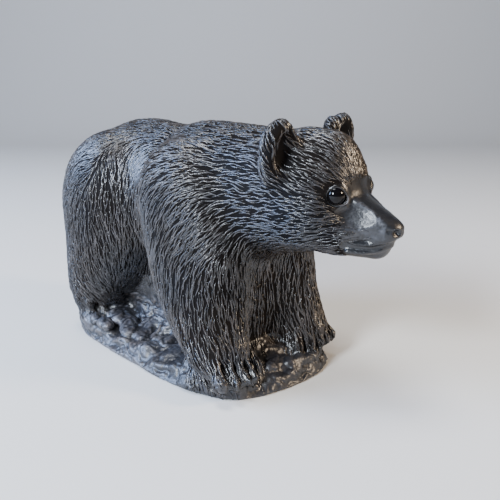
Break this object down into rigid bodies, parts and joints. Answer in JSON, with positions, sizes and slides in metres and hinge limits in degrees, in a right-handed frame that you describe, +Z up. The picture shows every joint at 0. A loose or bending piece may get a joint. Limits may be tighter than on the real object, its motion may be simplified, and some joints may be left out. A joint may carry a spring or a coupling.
{
  "type": "carved bear figurine",
  "caption": "Stocky bear walking on a slab of rock, carved in one block of dark stone with combed fur and glossy bead eyes.",
  "frame": {"origin": "centre of the rock's flat underside", "axes": "-Y is the way the bear walks, +X is its left side, +Z is up"},
  "size_m": [0.0634, 0.1473, 0.0888],
  "materials": {
    "stone": "satin, burnished on the high points",
    "jet": "gloss"
  },
  "bodies": {
    "root": {"bear_on_rock": "stone", "right_eye": "jet", "left_eye": "jet"}
  },
  "joints": []
}
